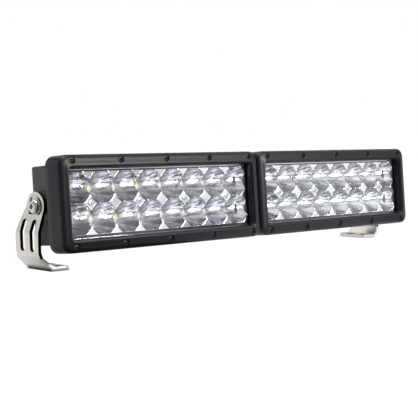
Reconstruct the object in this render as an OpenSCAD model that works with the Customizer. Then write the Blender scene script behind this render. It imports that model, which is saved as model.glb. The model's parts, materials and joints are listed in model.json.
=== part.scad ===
// Twin-module LED light bar, clamped between two stainless steel tilt brackets.
// Origin: midway between the round bolt holes of the two feet, on the feet's undersides.
// +X runs along the bar, the light leaves towards -Y and +Z is up. Millimetres.

/* [Bar] */
// Distance between the centres of the two lamp modules
module_pitch = 262; // [262:0.5:264]
// Depth of a lamp module, from the bezel's front face to the tips of the fins
bar_depth = 72; // [71:1:76]
// Upward aim of the bar as it stands, in degrees
rest_tilt = 5; // [-10:1:60]

/* [Bezel] */
// Length of one bezel
bezel_len = 260.5; // [260.2:0.1:261]
// Height of the bezel
bezel_h = 91.4; // [90.8:0.2:93]
// Depth of the bezel, skirt included
bezel_d = 25; // [24:0.5:26]
// Thickness of the bezel's front plate
bezel_face_t = 10.5; // [10.5:0.1:11]
// Thickness of the skirt that wraps round the housing's flange
skirt_t = 1.8; // [1.2:0.1:1.9]
// Radius of the bezel's four outer corners, seen from the front
bezel_corner_r = 10; // [8:0.5:12]
// Rounding between the bezel's front face and its sides
bezel_edge_r = 5; // [3:0.5:6]
// Length of the window in the bezel
window_len = 240; // [238:1:241]
// Height of the window in the bezel
window_h = 66; // [64:0.5:67]

/* [Optics] */
// Side of the square cell of one emitter
cell = 29.93; // [29.5:0.01:29.95]
// Emitters in one row of one module
cells_per_row = 8; // [4:2:8]
// Thickness of the clear lens
lens_t = 3; // [2:0.5:3]
// Radius of a reflector bowl at its rim
bowl_rim_r = 14.4; // [12:0.1:14.4]
// Radius of the hole in the bottom of a bowl
bowl_throat_r = 4.6; // [4:0.1:5]

/* [Housing] */
// Height of the housing behind the bezel
housing_h = 76; // [74:1:80]
// From the module's centre to the housing's outer end
housing_reach = 117; // [117:0.5:118]
// Distance from one cooling fin to the next
fin_pitch = 9.2; // [8:0.1:12]
// Gap between two cooling fins
fin_gap = 5.6; // [4:0.1:6.5]
// Depth of the gaps between the cooling fins
fin_depth = 15; // [10:1:15]

/* [Brackets] */
// Thickness of the bracket's steel
bracket_t = 3.5; // [2:0.5:5]
// Height of the tilt axis above the undersides of the feet
pivot_h = 61; // [61:1:70]
// From the bezel's front face back to the tilt axis
pivot_setback = 55.5; // [54:0.5:57]
// From the bar's middle to the outer face of a bracket's head
bracket_x = 253.2; // [252.8:0.1:254]
// Distance between the round bolt holes of the two feet
foot_hole_spacing = 468; // [466:1:469]
// Diameter of the round bolt hole and width of the arc slot in a foot
foot_hole_d = 6.6; // [5.5:0.1:7]
// Diameter of the tilt bolts
pivot_d = 8; // [6:1:8]

/* [Hidden] */
$fn = 48;

LEFT = -1;
RIGHT = 1;

// Clearance between pieces that are assembled by hand
fit_gap = 0.1;
// Length of a cutter that passes right through a piece
through = 60;

// Bezel screws: five along each long rail
screw_pitch = 58.15;
screw_rail_z = 40.4;
screw_r = 1.5;
screw_head_r = 2.75;
screw_sink_r = 3.3;
screw_sink_depth = 4.6;

// Layers of a lamp module, as distances behind the bezel's front face
lens_rebate_y = bezel_face_t - 3;
gasket_t = 2;
reflector_y = 11.4;
reflector_face_t = 2;
reflector_back_y = 33.4;
bowl_wall = 0.6;
board_y = 33.6;
board_t = 1.6;
pad_y = board_y + board_t;
pad_t = 0.5;
plate_y = pad_y + pad_t;
plate_t = 3;
ledge_y = plate_y + plate_t;
driver_cavity_back = 53;
fin_root_y = bar_depth - fin_depth;

// Inside of the housing
flange_y = bezel_face_t + fit_gap;
flange_back_y = bezel_d - 0.4;
front_cavity_back = 23;
front_cavity = [240.4, 66.4];
led_cavity = [229.8, 62.4];
driver_cavity_x = [-105, 85];
driver_cavity_h = 48;
housing_inner_x = -module_pitch/2 + 1.1;
housing_corner_r = 10;
housing_back_r = 11;

// Back of the housing
joiner_land_y = bar_depth - 7;
joiner_plate_t = 4;
joiner_plate_size = [66, 60];
joiner_bolt_xz = [22, 18];
joiner_bolt_r = 2.5;
port_x = -78;
port_pad_end = -60;
fin_zone_end = 88;
gland_thread_r = 8;
vent_thread_r = 5;
wire_hole_r = 4;
wire_y = 46;

// End of the housing, where the tilt bolt goes in
channel_depth = 8;
channel_z = [-14, 13];
channel_front_y = 41;
boss_r = 10;
boss_h = 1;
pivot_bore_depth = 21;

// Stack on the tilt bolt, as distances from the bar's middle
bracket_inner_x = bracket_x - bracket_t;
boss_x = module_pitch/2 + housing_reach - channel_depth + boss_h;
lock_washer_t = 2.2;
bolt_washer_t = 1.2;
bolt_head_h = 4.4;
bolt_head_rim = 1.6;
bolt_head_r = 7;
dish_depth = 0.8;
dish_r = 10.5;

// Cable gland
gland_hex_r = 12;
gland_flange_t = 4;
gland_nut_y = bar_depth + gland_flange_t;
gland_nut_len = 8;
gland_bore_r = 3.3;

// Bracket outline, measured from the tilt axis
foot_hole_y = -8.5;
foot_inner_x = bracket_x - 27.2;
foot_y = [-18.5, 23];
foot_corner_r = 5;
foot_slot_swing = 17;
foot_slot_angle = 10;
bracket_head_r = 14;
slot_w = 7.5;
slot_z = [-43, -12];
slot_y = [-4.2, 11.8];
foot_z = -pivot_h;
// Outer face of the sheet, from the head down to the foot: [beyond bracket_x, height]
bracket_line = [[0, 14], [0, -2], [7.5, -24], [6.8, -43], [5.3, -50], [-6.6, foot_z]];

// ---------------------------------------------------------------- placing

// The bar is tilted about the axis of its two clamp bolts.
module on_head() {
    translate([0, -foot_hole_y, pivot_h])
        rotate([-rest_tilt, 0, 0])
            translate([0, -pivot_setback, 0])
                children();
}

// A lamp module is drawn with +X towards the bar's end and its centre at x = 0.
module lamp(side) {
    on_head()
        mirror([side == LEFT ? 1 : 0, 0, 0])
            translate([module_pitch/2, 0, 0])
                children();
}

// Pieces on a tilt bolt are drawn with +X outwards, measured from the bar's middle.
module on_pivot(side) {
    on_head()
        translate([0, pivot_setback, 0])
            mirror([side == LEFT ? 1 : 0, 0, 0])
                children();
}

// A bracket stays level when the bar is tilted.
module on_bracket(side) {
    translate([0, -foot_hole_y, pivot_h])
        mirror([side == LEFT ? 1 : 0, 0, 0])
            children();
}

// ---------------------------------------------------------------- shared shapes

// Extrudes an outline in X and Z from y0 back to y1.
module extrude_y(y0, y1) {
    translate([0, y1, 0]) rotate([90, 0, 0]) linear_extrude(y1 - y0) children();
}

// Extrudes an outline in Y and Z from x0 to x1.
module extrude_x(x0, x1) {
    translate([x0, 0, 0]) rotate([90, 0, 90]) linear_extrude(x1 - x0) children();
}

// Round bar along Y, or along X.
module rod_y(y0, y1, r, r2) {
    translate([0, y0, 0]) rotate([-90, 0, 0]) cylinder(h = y1 - y0, r1 = r, r2 = r2 == undef ? r : r2);
}
module rod_x(x0, x1, r) {
    translate([x0, 0, 0]) rotate([0, 90, 0]) cylinder(h = x1 - x0, r = r);
}

// Rectangle about the origin with round corners.
module plate_outline(w, h, r) {
    square([w - 2*r, h], center = true);
    square([w, h - 2*r], center = true);
    for (x = [-1, 1], y = [-1, 1])
        translate([x*(w/2 - r), y*(h/2 - r)]) circle(r);
}

// Block outline from a0 to a1, h high, with the two corners at a1 rounded.
module nosed_outline(a0, a1, h, r) {
    translate([a0, -h/2]) square([a1 - a0 - r, h]);
    translate([a0, -h/2 + r]) square([a1 - a0, h - 2*r]);
    for (y = [-1, 1])
        translate([a1 - r, y*(h/2 - r)]) circle(r);
}

module bezel_screw_places() {
    for (i = [-2:2], z = [-screw_rail_z, screw_rail_z])
        translate([i*screw_pitch, 0, z]) children();
}

module cell_centres() {
    for (i = [0:cells_per_row - 1], z = [-cell/2, cell/2])
        translate([(i - (cells_per_row - 1)/2)*cell, 0, z]) children();
}

// Corners shared by four cells, every second one from the first given.
module cell_corners(first) {
    for (k = [first:2:cells_per_row - 1])
        translate([(k - cells_per_row/2)*cell, 0, 0]) children();
}

module plate_screw_places() {
    for (x = [-80, -27, 27, 80], z = [-27.6, 27.6])
        translate([x, 0, z]) children();
}

// ---------------------------------------------------------------- lamp module

// Front frame with a skirt; its front edges are rounded.
module bezel() {
    color("#2b2d31")
    difference() {
        intersection() {
            extrude_y(0, bezel_d) plate_outline(bezel_len, bezel_h, bezel_corner_r);
            extrude_x(-bezel_len/2, bezel_len/2)
                mirror([1, 0]) nosed_outline(-bezel_d, 0, bezel_h, bezel_edge_r);
            translate([0, 0, -bezel_h/2]) linear_extrude(bezel_h)
                rotate(-90) nosed_outline(-bezel_d, 0, bezel_len, bezel_edge_r);
        }
        extrude_y(-1, bezel_d) plate_outline(window_len, window_h, 3);
        extrude_y(lens_rebate_y, bezel_d) plate_outline(window_len + 6, window_h + 6, 4);
        extrude_y(bezel_face_t, bezel_d + 1)
            plate_outline(bezel_len - 2*skirt_t, bezel_h - 2*skirt_t, bezel_corner_r - skirt_t);
        bezel_screw_places() {
            rod_y(-1, screw_sink_depth, screw_sink_r);
            rod_y(0, bezel_d, screw_r + 0.2);
        }
    }
}

// Socket head screws, sunk in the bezel's rails.
module bezel_screws() {
    color("#18181a")
    bezel_screw_places() difference() {
        union() {
            rod_y(screw_sink_depth - 3, screw_sink_depth - 0.05, screw_head_r);
            rod_y(screw_sink_depth - 1, 19, screw_r);
        }
        translate([0, screw_sink_depth - 3.1, 0]) rotate([-90, 0, 0]) cylinder(h = 1.7, r = 1.45, $fn = 6);
    }
}

module lens() {
    color("#dfe8ee", 0.35)
    extrude_y(bezel_face_t - lens_t + 0.05, bezel_face_t - 0.05)
        plate_outline(window_len + 5.6, window_h + 5.6, 3.8);
}

// Flat ring between the lens and a rebate in the housing's flange.
module lens_gasket() {
    color("#0e0e0f")
    difference() {
        extrude_y(bezel_face_t, bezel_face_t + gasket_t) plate_outline(window_len + 5.4, window_h + 5.4, 3.7);
        extrude_y(bezel_face_t - 1, bezel_face_t + gasket_t + 1) plate_outline(window_len + 1, window_h + 1, 2);
    }
}

// One moulding with a bowl for every emitter and sunk screw seats between the bowls.
module reflector() {
    rim = [cells_per_row*cell - 0.2, 2*cell + 3];
    color("#d9dde2")
    difference() {
        union() {
            extrude_y(reflector_y, reflector_y + reflector_face_t) plate_outline(rim.x, rim.y, 2);
            cell_centres() rod_y(reflector_y, reflector_back_y, bowl_rim_r + bowl_wall, bowl_throat_r + bowl_wall);
            cell_corners(1) rod_y(reflector_y, reflector_y + 5, 4.2);
        }
        cell_centres() {
            rod_y(reflector_y, reflector_back_y, bowl_rim_r, bowl_throat_r);
            rod_y(reflector_y - 1, reflector_y + 0.01, bowl_rim_r);
            rod_y(reflector_back_y - 0.1, reflector_back_y + 1, bowl_throat_r);
        }
        cell_corners(1) {
            rod_y(reflector_y - 1, reflector_y + 1.9, 3);
            rod_y(reflector_y, reflector_y + 6, screw_r + 0.1);
        }
    }
}

module reflector_screws() {
    color("#c9ccd0")
    cell_corners(1) difference() {
        union() {
            rod_y(reflector_y + 0.2, reflector_y + 1.85, 2.7);
            rod_y(reflector_y + 1, ledge_y - 0.2, screw_r);
        }
        translate([0, reflector_y, 0]) rotate([-90, 0, 0]) cylinder(h = 1.2, r = 1.2, $fn = 6);
    }
}

module led_board() {
    color("#e8ebea")
    difference() {
        extrude_y(board_y, board_y + board_t) plate_outline(led_cavity.x - 1.4, led_cavity.y - 2.4, 2);
        cell_corners(1) rod_y(board_y - 1, board_y + through, screw_r + 0.1);
        cell_corners(2) rod_y(board_y - 1, board_y + through, screw_r + 0.1);
    }
}

// Ceramic bases with a round phosphor dome.
module emitters() {
    color("#d6e04a")
    cell_centres() {
        translate([-2.5, board_y - 0.95, -2.5]) cube([5, 0.95, 5]);
        rod_y(board_y - 1.5, board_y - 0.9, 1.7);
    }
}

module board_screws() {
    color("#8f9296")
    cell_corners(2) {
        rod_y(board_y - 2, board_y - 0.02, 2.7);
        rod_y(board_y - 1, ledge_y - 0.2, screw_r);
    }
}

module thermal_pad() {
    color("#8a93a6")
    difference() {
        extrude_y(pad_y, pad_y + pad_t) plate_outline(led_cavity.x - 3, led_cavity.y - 5, 2);
        cell_corners(1) rod_y(pad_y - 1, pad_y + through, screw_r + 0.1);
        cell_corners(2) rod_y(pad_y - 1, pad_y + through, screw_r + 0.1);
    }
}

// Aluminium plate that carries the emitters' heat to the ledges of the housing.
module mount_plate() {
    color("#b9bcc0")
    difference() {
        extrude_y(plate_y, ledge_y) plate_outline(led_cavity.x - 0.6, led_cavity.y - 0.6, 2);
        cell_corners(1) rod_y(plate_y - 1, plate_y + through, screw_r + 0.03);
        cell_corners(2) rod_y(plate_y - 1, plate_y + through, screw_r + 0.03);
        plate_screw_places() {
            rod_y(plate_y, plate_y + 1.6, 3, screw_r + 0.1);
            rod_y(plate_y - 1, plate_y + 0.02, 3);
            rod_y(plate_y, plate_y + through, screw_r + 0.1);
        }
    }
}

// Countersunk screws, flush with the plate.
module plate_screws() {
    color("#8f9296")
    plate_screw_places() {
        rod_y(plate_y + 0.05, plate_y + 1.5, 2.85, screw_r);
        rod_y(plate_y + 1, 46, screw_r);
    }
}

module driver_board() {
    color("#2d5a3a")
    extrude_y(ledge_y + 1.3, ledge_y + 2.9)
        translate([(driver_cavity_x[0] + driver_cavity_x[1])/2, 0])
            plate_outline(driver_cavity_x[1] - driver_cavity_x[0] - 4, driver_cavity_h - 4, 1);
}

// Coils, capacitors and switches on the back of the driver board.
module driver_parts() {
    back = ledge_y + 2.9;
    color("#3a3a40") {
        for (x = [-60, 40]) translate([x, 0, 8]) rod_y(back, back + 8, 9);
        for (i = [0:3]) translate([-20 + 12*i, 0, -12]) rod_y(back, back + 10, 4.5);
        for (x = [-40, 20]) translate([x - 5, back, -16]) cube([8, 4.5, 6]);
        translate([-92, back, -16]) cube([10, 9, 28]);
    }
}

// Housing seen from above: only its outer back corner is rounded.
module housing_plan() {
    r = housing_corner_r;
    translate([housing_inner_x, 0]) square([housing_reach - r - housing_inner_x, bar_depth]);
    translate([housing_inner_x, 0]) square([housing_reach - housing_inner_x, bar_depth - r]);
    translate([housing_reach - r, bar_depth - r]) circle(r);
}

// Casting with a flange behind the bezel, a stepped cavity and fins along the back.
module housing(port_r) {
    fin_count = floor((fin_zone_end - port_pad_end)/fin_pitch);
    color("#3a3b3f")
    difference() {
        union() {
            extrude_y(flange_y, flange_back_y)
                plate_outline(bezel_len - 2*skirt_t - 0.4, bezel_h - 2*skirt_t - 0.4, bezel_corner_r - skirt_t - 0.2);
            intersection() {
                extrude_x(housing_inner_x, housing_reach)
                    nosed_outline(front_cavity_back - 3, bar_depth, housing_h, housing_back_r);
                translate([0, 0, -housing_h/2]) linear_extrude(housing_h) housing_plan();
            }
        }
        // room for the bezel's skirt at the inner end
        translate([housing_inner_x - 1, 0, -housing_h])
            cube([skirt_t + 0.15 - bezel_len/2 - housing_inner_x + 1, bezel_d + 0.15, 2*housing_h]);
        // cavity, from the lens to the driver
        extrude_y(0, front_cavity_back) plate_outline(front_cavity.x, front_cavity.y, 3);
        extrude_y(0, flange_y + gasket_t) plate_outline(window_len + 5.8, window_h + 5.8, 3.9);
        extrude_y(20, ledge_y) plate_outline(led_cavity.x, led_cavity.y, 3);
        translate([driver_cavity_x[0], 30, -driver_cavity_h/2])
            cube([driver_cavity_x[1] - driver_cavity_x[0], driver_cavity_back - 30, driver_cavity_h]);
        bezel_screw_places() rod_y(0, 20, screw_r + 0.03);
        plate_screw_places() rod_y(30, 47, screw_r + 0.03);
        // way through to the other module, and the port at the back
        translate([0, wire_y, 0]) rod_x(housing_inner_x - 1, driver_cavity_x[0] + 1, wire_hole_r);
        translate([port_x, 0, 0]) rod_y(driver_cavity_back - 1, bar_depth + 1, port_r);
        // fins
        for (i = [0:fin_count - 1])
            translate([port_pad_end + i*fin_pitch, fin_root_y, -housing_h])
                cube([fin_gap, fin_depth + 1, 2*housing_h]);
        // land for half of the joiner plate
        translate([housing_inner_x - 1, joiner_land_y, -joiner_plate_size.y/2 - 0.3])
            cube([joiner_plate_size.x/2 + 0.3, 10, joiner_plate_size.y + 0.6]);
        for (z = [-1, 1])
            translate([joiner_bolt_xz.x - module_pitch/2, 0, z*joiner_bolt_xz.y])
                rod_y(55.5, bar_depth, joiner_bolt_r + 0.05);
        // channel with the boss of the tilt bolt
        difference() {
            translate([housing_reach - channel_depth, channel_front_y, channel_z[0]])
                cube([channel_depth + 1, bar_depth, channel_z[1] - channel_z[0]]);
            translate([0, pivot_setback, 0])
                rod_x(housing_reach - channel_depth - 1, housing_reach - channel_depth + boss_h, boss_r);
        }
        translate([0, pivot_setback, 0])
            rod_x(housing_reach - channel_depth - pivot_bore_depth, housing_reach + 1, pivot_d/2 + 0.05);
    }
}

// ---------------------------------------------------------------- tilt joints

// Button head bolt with a hexagon socket, threaded into the housing's boss.
module pivot_bolt() {
    seat = bracket_x - dish_depth + fit_gap + bolt_washer_t;
    color("#c6c4bf")
    difference() {
        union() {
            rod_x(boss_x - pivot_bore_depth + 2, seat + 0.5, pivot_d/2);
            rod_x(seat, seat + bolt_head_rim, bolt_head_r);
            translate([seat + bolt_head_rim, 0, 0]) rotate([0, 90, 0])
                cylinder(h = bolt_head_h - bolt_head_rim, r1 = bolt_head_r, r2 = bolt_head_r - 2.6);
        }
        translate([seat + bolt_head_h - 2.6, 0, 0]) rotate([0, 90, 0]) cylinder(h = 5, r = 2.9, $fn = 6);
    }
}

module washer(x0, x1, r) {
    difference() {
        rod_x(x0, x1, r);
        rod_x(x0 - 1, x1 + 1, pivot_d/2 + 0.03);
    }
}

module bolt_washer() {
    seat = bracket_x - dish_depth + fit_gap;
    color("#cfcdc8") washer(seat, seat + bolt_washer_t, 8.2);
}

module lock_washer() {
    color("#b4b2ae") washer(boss_x, boss_x + lock_washer_t, 7.2);
}

module pivot_spacer() {
    color("#d2d0cc") washer(boss_x + lock_washer_t, bracket_inner_x - fit_gap, 8);
}

// ---------------------------------------------------------------- brackets

// Direction across the sheet, from its outer to its inner face, between two points of the line.
function across(a, b) = [b.y - a.y, a.x - b.x]/norm(b - a);

// Point of the inner face that belongs to point i of the outer one.
function inner_point(line, i) =
    let (last = len(line) - 1,
         before = across(line[max(i, 1) - 1], line[max(i, 1)]),
         after = across(line[min(i, last - 1)], line[min(i, last - 1) + 1]))
    line[i] + bracket_t*(before + after)/(1 + before*after);

// Folded sheet: the joggled side line and the foot, all of the same thickness.
module bracket_sheet() {
    outer = concat([for (p = bracket_line) [bracket_x + p.x, p.y]], [[foot_inner_x, foot_z]]);
    inner = [for (i = [len(outer) - 1:-1:0]) inner_point(outer, i)];
    rotate([90, 0, 0]) translate([0, 0, -foot_y[1]]) linear_extrude(foot_y[1] - foot_y[0])
        polygon(concat(outer, inner));
}

// Side view of the bracket: a round head that widens down to the foot.
module bracket_outline() {
    circle(bracket_head_r);
    polygon([
        [-13.6, 3], [-13.4, -7], [-14.2, -23.5], [-13.8, -44], [foot_y[0], foot_z + 4], [foot_y[0], foot_z],
        [foot_y[1], foot_z], [foot_y[1], -27], [18.5, -8], [13.2, 5]
    ]);
}

module bracket_slot() {
    translate([-slot_w/2, slot_z[0] + slot_w/2]) square([slot_w, slot_z[1] - slot_z[0] - slot_w]);
    for (z = [slot_z[0] + slot_w/2, slot_z[1] - slot_w/2])
        translate([0, z]) circle(slot_w/2);
}

// Foot seen from above, with its two inner corners rounded.
module foot_outline() {
    far = bracket_x + 20;
    r = foot_corner_r;
    translate([foot_inner_x + r, foot_y[0]]) square([far - foot_inner_x - r, foot_y[1] - foot_y[0]]);
    translate([foot_inner_x, foot_y[0] + r]) square([r + 1, foot_y[1] - foot_y[0] - 2*r]);
    for (y = [foot_y[0] + r, foot_y[1] - r])
        translate([foot_inner_x + r, y]) circle(r);
}

module bracket() {
    color("#bdb9b2")
    difference() {
        intersection() {
            bracket_sheet();
            extrude_x(bracket_x - 60, bracket_x + 60) bracket_outline();
            translate([0, 0, foot_z - 1]) linear_extrude(pivot_h + 40) foot_outline();
        }
        extrude_x(bracket_x - 8, bracket_x + 20)
            for (y = slot_y) translate([y, 0]) bracket_slot();
        rod_x(bracket_x - 20, bracket_x + 20, pivot_d/2 + 0.06);
        rod_x(bracket_x - dish_depth, bracket_x + 5, dish_r);
        // round hole and the arc slot that swings about it
        translate([foot_hole_spacing/2, foot_hole_y, foot_z - 1]) {
            cylinder(h = 8, d = foot_hole_d);
            rotate(90 - foot_slot_angle) rotate_extrude(angle = 2*foot_slot_angle)
                translate([foot_slot_swing - foot_hole_d/2, 0]) square([foot_hole_d, 8]);
            for (a = [90 - foot_slot_angle, 90 + foot_slot_angle])
                rotate(a) translate([foot_slot_swing, 0, 0]) cylinder(h = 8, d = foot_hole_d);
        }
    }
}

// ---------------------------------------------------------------- between the modules

module joiner_plate() {
    color("#232427")
    on_head() difference() {
        extrude_y(joiner_land_y + 0.05, joiner_land_y + joiner_plate_t)
            plate_outline(joiner_plate_size.x, joiner_plate_size.y, 3);
        joiner_bolt_places() rod_y(0, bar_depth, joiner_bolt_r + 0.2);
    }
}

module joiner_bolt_places() {
    for (x = [-joiner_bolt_xz.x, joiner_bolt_xz.x], z = [-joiner_bolt_xz.y, joiner_bolt_xz.y])
        translate([x, 0, z]) children();
}

module joiner_bolts() {
    head_y = joiner_land_y + joiner_plate_t + 0.05;
    color("#8f9194")
    on_head() joiner_bolt_places() difference() {
        union() {
            rod_y(56, head_y + 1, joiner_bolt_r);
            rod_y(head_y, head_y + 2.7, 4.6, 3.6);
        }
        translate([0, head_y + 1.2, 0]) rotate([-90, 0, 0]) cylinder(h = 3, r = 1.75, $fn = 6);
    }
}

// Rubber plate squeezed between the two housings, with a hole for the wires.
module joint_seal() {
    color("#101011")
    on_head() difference() {
        extrude_x(-1, 1) translate([(bezel_d + joiner_land_y)/2, 0])
            plate_outline(joiner_land_y - bezel_d - 2, housing_h - 8, 4);
        translate([0, wire_y, 0]) rod_x(-5, 5, wire_hole_r);
    }
}

module link_cable() {
    color("#1a1a1c") on_head() translate([0, wire_y, 0]) rod_x(-38.9, 38.9, 3);
}

// ---------------------------------------------------------------- cable gland and vent

module gland_place() {
    on_head() mirror([1, 0, 0]) translate([module_pitch/2 + port_x, 0, 0]) children();
}

module gland_body() {
    color("#1c1c1e")
    gland_place() difference() {
        union() {
            rod_y(57, bar_depth + 1, gland_thread_r - 0.05);
            translate([0, bar_depth + 0.05, 0]) rotate([-90, 0, 0]) cylinder(h = gland_flange_t, r = gland_hex_r, $fn = 6);
        }
        rod_y(50, 90, 6);
    }
}

module gland_nut() {
    color("#1c1c1e")
    gland_place() difference() {
        rod_y(gland_nut_y + 0.1, gland_nut_y + gland_nut_len, 10.2, 8.6);
        rod_y(gland_nut_y - 1, 100, 6);
    }
}

module gland_seal() {
    color("#0d0d0e")
    gland_place() difference() {
        rod_y(gland_nut_y - 8, gland_nut_y + gland_nut_len - 0.5, 5.9);
        rod_y(50, 100, gland_bore_r);
    }
}

// Screwed vent that lets the housing breathe.
module breather_vent() {
    color("#1c1c1e")
    on_head() translate([module_pitch/2 + port_x, 0, 0]) difference() {
        union() {
            rod_y(57, bar_depth + 1, vent_thread_r - 0.05);
            rod_y(bar_depth + 0.05, bar_depth + 4, 8, 7);
        }
        rod_y(56, bar_depth + 2, 2.5);
    }
}

// ---------------------------------------------------------------- nodes

lamp(LEFT) bezel();  // left_bezel
lamp(RIGHT) bezel();  // right_bezel
lamp(LEFT) bezel_screws();  // left_bezel_screws
lamp(RIGHT) bezel_screws();  // right_bezel_screws
lamp(LEFT) lens();  // left_lens
lamp(RIGHT) lens();  // right_lens
lamp(LEFT) lens_gasket();  // left_lens_gasket
lamp(RIGHT) lens_gasket();  // right_lens_gasket
lamp(LEFT) reflector();  // left_reflector
lamp(RIGHT) reflector();  // right_reflector
lamp(LEFT) reflector_screws();  // left_reflector_screws
lamp(RIGHT) reflector_screws();  // right_reflector_screws
lamp(LEFT) led_board();  // left_led_board
lamp(RIGHT) led_board();  // right_led_board
lamp(LEFT) emitters();  // left_emitters
lamp(RIGHT) emitters();  // right_emitters
lamp(LEFT) board_screws();  // left_board_screws
lamp(RIGHT) board_screws();  // right_board_screws
lamp(LEFT) thermal_pad();  // left_thermal_pad
lamp(RIGHT) thermal_pad();  // right_thermal_pad
lamp(LEFT) mount_plate();  // left_mount_plate
lamp(RIGHT) mount_plate();  // right_mount_plate
lamp(LEFT) plate_screws();  // left_plate_screws
lamp(RIGHT) plate_screws();  // right_plate_screws
lamp(LEFT) driver_board();  // left_driver_board
lamp(RIGHT) driver_board();  // right_driver_board
lamp(LEFT) driver_parts();  // left_driver_parts
lamp(RIGHT) driver_parts();  // right_driver_parts
lamp(LEFT) housing(gland_thread_r);  // left_housing
lamp(RIGHT) housing(vent_thread_r);  // right_housing
on_pivot(LEFT) pivot_bolt();  // left_pivot_bolt
on_pivot(RIGHT) pivot_bolt();  // right_pivot_bolt
on_pivot(LEFT) bolt_washer();  // left_bolt_washer
on_pivot(RIGHT) bolt_washer();  // right_bolt_washer
on_pivot(LEFT) lock_washer();  // left_lock_washer
on_pivot(RIGHT) lock_washer();  // right_lock_washer
on_pivot(LEFT) pivot_spacer();  // left_pivot_spacer
on_pivot(RIGHT) pivot_spacer();  // right_pivot_spacer
on_bracket(LEFT) bracket();  // left_bracket
on_bracket(RIGHT) bracket();  // right_bracket
joiner_plate();
joiner_bolts();
joint_seal();
link_cable();
gland_body();
gland_nut();
gland_seal();
breather_vent();
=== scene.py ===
# %% [markdown]
# # A twin-module LED light bar
# Two identical lamp modules are joined end to end and clamped between two folded steel brackets.
# Each module has a black bezel with a clear lens, a mirror reflector with sixteen bowls, and a finned
# casting behind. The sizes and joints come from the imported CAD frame; this script adds the surfaces
# that a viewer sees, one piece at a time.

# %% Load the frame
import json
import math
import bmesh
import bpy
from mathutils import Matrix, Vector


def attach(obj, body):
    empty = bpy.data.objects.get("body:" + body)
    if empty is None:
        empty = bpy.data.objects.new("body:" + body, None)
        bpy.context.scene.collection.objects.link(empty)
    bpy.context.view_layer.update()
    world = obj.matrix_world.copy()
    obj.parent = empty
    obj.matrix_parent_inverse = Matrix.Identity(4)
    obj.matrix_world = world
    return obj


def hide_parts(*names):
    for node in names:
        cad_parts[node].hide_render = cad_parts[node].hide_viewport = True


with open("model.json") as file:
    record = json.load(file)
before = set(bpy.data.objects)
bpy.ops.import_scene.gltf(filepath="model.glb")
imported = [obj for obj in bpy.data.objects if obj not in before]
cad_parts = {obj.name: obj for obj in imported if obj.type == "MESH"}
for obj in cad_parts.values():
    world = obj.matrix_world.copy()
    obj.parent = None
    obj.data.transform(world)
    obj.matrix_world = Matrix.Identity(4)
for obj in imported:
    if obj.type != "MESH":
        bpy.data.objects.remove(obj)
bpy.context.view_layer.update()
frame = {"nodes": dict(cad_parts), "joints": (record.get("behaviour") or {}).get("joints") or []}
MM = 0.001

# %% [markdown]
# ## Where things go
# The bar tilts about one axis through its two clamp bolts. Everything on the bar is easiest to draw
# square to the bezel, so it is drawn in millimetres with X along the bar, Y going back from the
# bezel's front face and Z up from its middle, and one matrix then puts it at its place. The axis comes
# from the joint in the frame, so the drawing follows if the CAD part moves it. Pieces of the left
# module are the right ones mirrored.

# %% Placing matrices
AXIS = Vector(frame["joints"][0]["pos_m"])
REST_TILT = math.radians(5)
SETBACK = 55.5
PITCH = 262
SIDES = {"left": -1, "right": 1}
HEAD = (Matrix.Translation(AXIS) @ Matrix.Rotation(-REST_TILT, 4, "X")
        @ Matrix.Scale(MM, 4) @ Matrix.Translation((0, -SETBACK, 0)))


def lamp(side):
    """Module drawing to row frame: x runs outwards from the module's centre."""
    return HEAD @ Matrix.Diagonal((SIDES[side], 1, 1, 1)) @ Matrix.Translation((PITCH/2, 0, 0))


def on_axis(side):
    """Drawing of a piece on a clamp bolt: x runs outwards from the bar's middle, the axis is y = z = 0."""
    return HEAD @ Matrix.Translation((0, SETBACK, 0)) @ Matrix.Diagonal((SIDES[side], 1, 1, 1))


def on_bracket(side):
    """Drawing of a bracket, level, with the tilt axis at y = z = 0."""
    return Matrix.Translation(AXIS) @ Matrix.Scale(MM, 4) @ Matrix.Diagonal((SIDES[side], 1, 1, 1))


print("tilt axis at", tuple(round(v, 4) for v in AXIS))

# %% [markdown]
# ## Mesh helpers
# Nearly every piece here is a stack of closed rings: round ones for bolts and washers, rounded
# rectangles for the bezel and the lens. One function that joins rings with quads therefore makes most
# of the bar, and the quads keep the highlights even. Normals are recalculated once at the end, after
# doubles are merged, so mirrored pieces come out facing outwards too.


# %% Rings, solids and edges
def ring_rect(half_w, half_h, r, y, arc=8):
    """Rounded rectangle in X and Z at depth y, with the same number of points whatever its size."""
    r = max(r, 0.02)
    points = []
    for quarter in range(4):
        cx = (half_w - r) * (1 if quarter in (0, 3) else -1)
        cz = (half_h - r) * (1 if quarter in (0, 1) else -1)
        for i in range(arc + 1):
            a = math.radians(90*quarter + 90*i/arc)
            points.append((cx + r*math.cos(a), y, cz + r*math.sin(a)))
    return points


def ring_round(r, depth, along="y", n=40, corners=0):
    """Circle about the Y or X axis; with corners it is a polygon sampled at the same angles."""
    points = []
    for i in range(n):
        a = 2*math.pi*i/n
        reach = r
        if corners:
            half = math.pi/corners
            reach = r*math.cos(half)/math.cos((a % (2*half)) - half)
        u, v = reach*math.cos(a), reach*math.sin(a)
        points.append((u, depth, v) if along == "y" else (depth, u, v))
    return points


def stack(rings, closed=False):
    """Quads between rings of equal length. Ends get a flat cap, unless closed joins last to first."""
    n = len(rings[0])
    verts = [p for ring in rings for p in ring]
    faces = []
    rows = len(rings)
    for i in range(rows if closed else rows - 1):
        a, b = i*n, ((i + 1) % rows)*n
        faces += [(a + j, a + (j + 1) % n, b + (j + 1) % n, b + j) for j in range(n)]
    if not closed:
        faces += [tuple(range(n)), tuple((rows - 1)*n + j for j in reversed(range(n)))]
    return verts, faces


def joined(parts):
    """Several pairs of points and faces as one pair."""
    verts, faces = [], []
    for part_verts, part_faces in parts:
        faces += [tuple(len(verts) + k for k in face) for face in part_faces]
        verts += part_verts
    return verts, faces


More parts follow.
